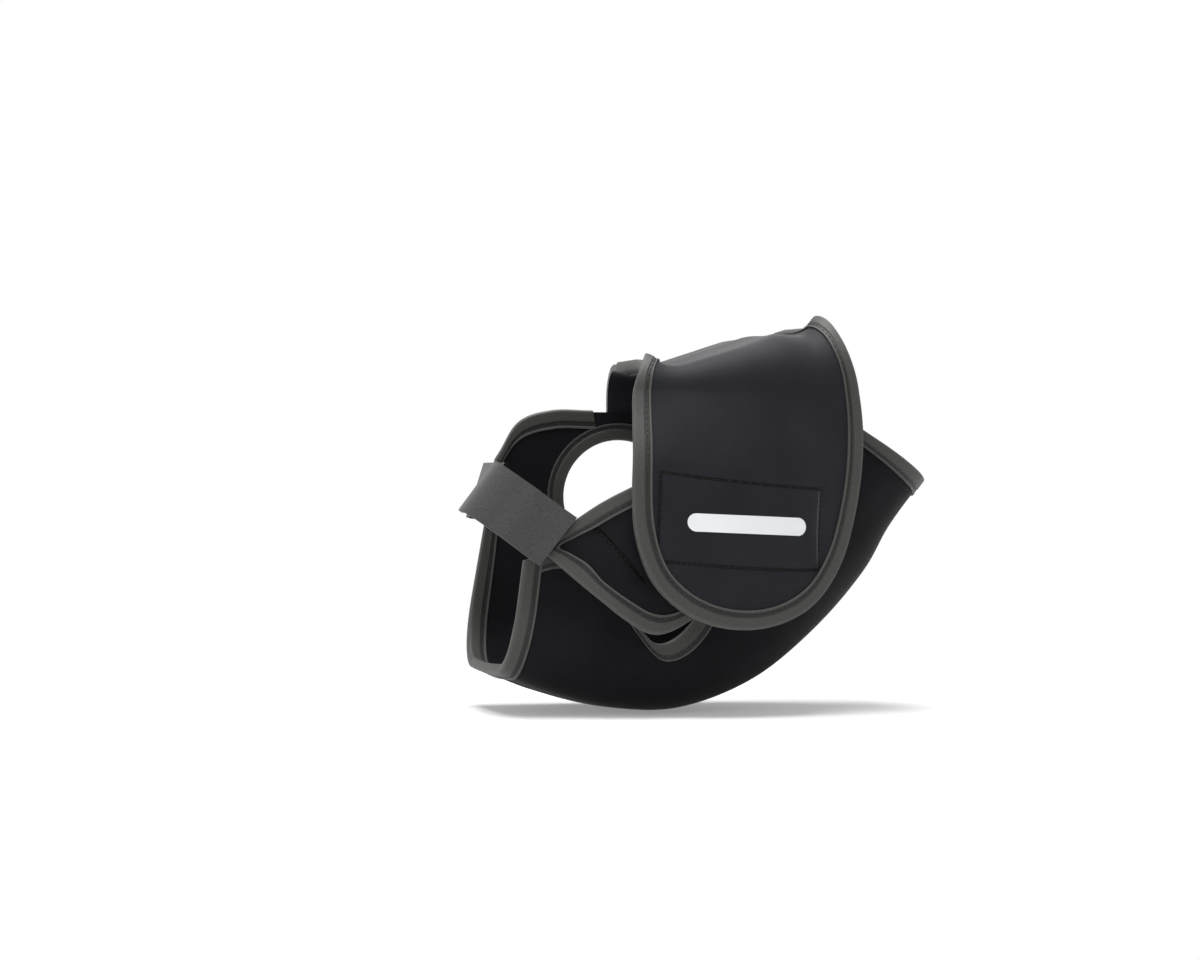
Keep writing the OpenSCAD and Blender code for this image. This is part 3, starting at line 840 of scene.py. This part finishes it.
# Each tape: its node, its chart, the shares of the border where it starts and ends, and its stitched faces
TAPES = [
    ("flap_binding", leaf_edge(flap_smooth, FLAP_EDGE, flap_spine), 3 / 58, 55 / 58, (1, -1)),
    ("tongue_binding", leaf_edge(tongue_smooth, TONGUE_EDGE, tongue_spine), 2 / 40, 38 / 40, (1, -1)),
    ("slot_binding", body_edge("drive"), 0.045, 0.955, (-1, 1)),
    ("front_binding", body_edge("front"), 0.0, 0.955, (-1, 1)),
    ("rear_binding", body_edge("rear"), 0.0, 1.38, (-1, 1)),
    ("crank_hole_binding", hole_edge, 0.0, 1.0, (1, -1))]
for name, at, t0, t1, sides in TAPES:
    piece, length = make_tape(name + "_tape", at, t0, t1, 2.2, "binding_tape", tape_mat,
                              name.startswith("crank"))
    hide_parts(name)
    stitch_tape(name + "_thread", at, t0, t1, length, thread_mat, sides)

# Hook patches, each on the face that meets what it holds
UNDER = -(SEAT_H + GAP + PATCH_T / 2)
flap_patch = make_sheet("flap_hook_patch_cloth",
                        [[flap_pn(*patch_flat(i / 40, j / 20)) for j in range(21)] for i in range(41)],
                        PATCH_T, "hook_tape", hook_mat, UNDER)
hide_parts("flap_hook_patch")
TIP_A, TIP_B, ROOT_A, ROOT_B = (-50, -22), (-41, -15.5), (-35.5, -34), (-25, -37)
tongue_patch = make_sheet("tongue_hook_patch_cloth",
                          [[tongue_pn(*mixp(mixp(TIP_A, TIP_B, i / 12), mixp(ROOT_A, ROOT_B, i / 12),
                                            1 - j / 14)) for j in range(15)] for i in range(13)],
                          PATCH_T, "hook_tape", hook_mat, UNDER)
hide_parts("tongue_hook_patch")
strap_patch = make_sheet("strap_hook_patch_cloth",
                         [[strap_pn((0.3 + 11 * i / 30) / 44, mix(0.06, 0.94, j / 12)) for j in range(13)]
                          for i in range(31)],
                         PATCH_T, "hook_tape", hook_mat, STRAP_T / 2 + GAP + PATCH_T / 2)
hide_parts("strap_hook_patch")


def seam_thread(name, pn, line):
    """Stitches along line, half sunk in the cloth's outer face."""
    pts = []
    for (ax, az), (bx, bz) in zip(line, line[1:]):
        steps = max(int(math.hypot(bx - ax, bz - az) / 1.0), 1)
        pts += [pn(mix(ax, bx, k / steps), mix(az, bz, k / steps)) for k in range(steps)]
    pts.append(pn(*line[-1]))
    off = SHEET_T / 2 - 0.05
    thread(name, [(p + nn * off, nn) for p, nn in pts], thread_mat, 2.6, 2.3, 0.22)


seam_thread("flap_patch_thread", flap_pn, FLAP_SEAM)
seam_thread("tongue_patch_thread", tongue_pn, TONGUE_SEAM)
for k, q in enumerate((196.0, 192.0)):
    seam_thread(f"top_seam_thread_{k}", flap_pn, [(-3.0, q), (86.0, q)])

# Studio: pale floor and backdrop, soft light
floor_z = cad_box[0][2] - 0.0006
bpy.ops.mesh.primitive_plane_add(size=14, location=(0, 0, floor_z))
floor = bpy.context.object
floor.name = "floor"
floor_mat, g_nodes, g_links, g_bsdf = new_material("floor", (0.86, 0.86, 0.86), 0.9)
floor.data.materials.append(floor_mat)
# The floor turns plain white away from the object, as a studio's sweep does
g_coord, g_len = g_nodes.new("ShaderNodeTexCoord"), g_nodes.new("ShaderNodeVectorMath")
g_len.operation = "LENGTH"
g_links.new(g_coord.outputs["Object"], g_len.inputs[0])
g_range = g_nodes.new("ShaderNodeMapRange")
g_range.interpolation_type = "SMOOTHSTEP"
g_range.inputs["From Min"].default_value = 0.12
g_range.inputs["From Max"].default_value = 0.9
g_range.inputs["To Min"].default_value = 0.25
g_links.new(g_len.outputs["Value"], g_range.inputs["Value"])
g_white, g_mix = g_nodes.new("ShaderNodeEmission"), g_nodes.new("ShaderNodeMixShader")
g_white.inputs["Strength"].default_value = 1.0
g_links.new(g_range.outputs["Result"], g_mix.inputs[0])
g_links.new(g_bsdf.outputs[0], g_mix.inputs[1])
g_links.new(g_white.outputs[0], g_mix.inputs[2])
g_links.new(g_mix.outputs[0], g_nodes["Material Output"].inputs["Surface"])

world = bpy.data.worlds.new("world")
bpy.context.scene.world = world
world.use_nodes = True
w_nodes, w_links = world.node_tree.nodes, world.node_tree.links
seen, lit = w_nodes["Background"], w_nodes.new("ShaderNodeBackground")
seen.inputs["Color"].default_value = (1, 1, 1, 1)
seen.inputs["Strength"].default_value = 1.0
lit.inputs["Color"].default_value = (1, 1, 1, 1)
lit.inputs["Strength"].default_value = 0.5
rays, mixer = w_nodes.new("ShaderNodeLightPath"), w_nodes.new("ShaderNodeMixShader")
w_links.new(rays.outputs["Is Camera Ray"], mixer.inputs[0])
w_links.new(lit.outputs[0], mixer.inputs[1])
w_links.new(seen.outputs[0], mixer.inputs[2])
w_links.new(mixer.outputs[0], w_nodes["World Output"].inputs["Surface"])
bpy.context.scene.view_settings.view_transform = "Standard"


def area(name, place, size, power, target=(0.02, 0, 0)):
    data = bpy.data.lights.new(name, "AREA")
    data.shape = "RECTANGLE"
    data.size, data.size_y = size
    data.energy = power
    lamp = bpy.data.objects.new(name, data)
    lamp.location = place
    lamp.rotation_euler = (Vector(target) - Vector(place)).to_track_quat("-Z", "Y").to_euler()
    bpy.context.scene.collection.objects.link(lamp)


area("key", (-1.3, -1.5, 0.3), (1.0, 0.6), 8)
area("fill", (1.6, -1.2, 0.6), (1.2, 1.2), 1.5)
area("top", (-0.1, 0.0, 1.4), (1.6, 0.9), 44)

# Every cloth sheet: the size of its flat cut, the cut's area, what it rests on, and the tapes, patches and
# seams on it. The cut's area is that of the sheet's middle surface
SHEETS = [(body, (0.36, 0.34), 0.0552, (),
           ("slot_binding", "front_binding", "rear_binding", "crank_hole_binding")),
          (flap, (0.13, 0.32), 0.0275, (body,),
           ("flap_binding", "flap_hook_patch_cloth", "flap_patch_thread", "top_seam_thread")),
          (tongue, (0.145, 0.09), 0.0081, (body,),
           ("tongue_binding", "tongue_hook_patch_cloth", "tongue_patch_thread")),
          (strap, (0.028, 0.205), None, (body, tongue), ("strap_hook_patch_cloth",))]
ADDED = [o for o in bpy.data.objects if o.type == "MESH" and o.name.endswith(("_tape", "_cloth"))
         or "_thread" in o.name]
for obj, flat, cut, rests, starts in SHEETS:
    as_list(rests)
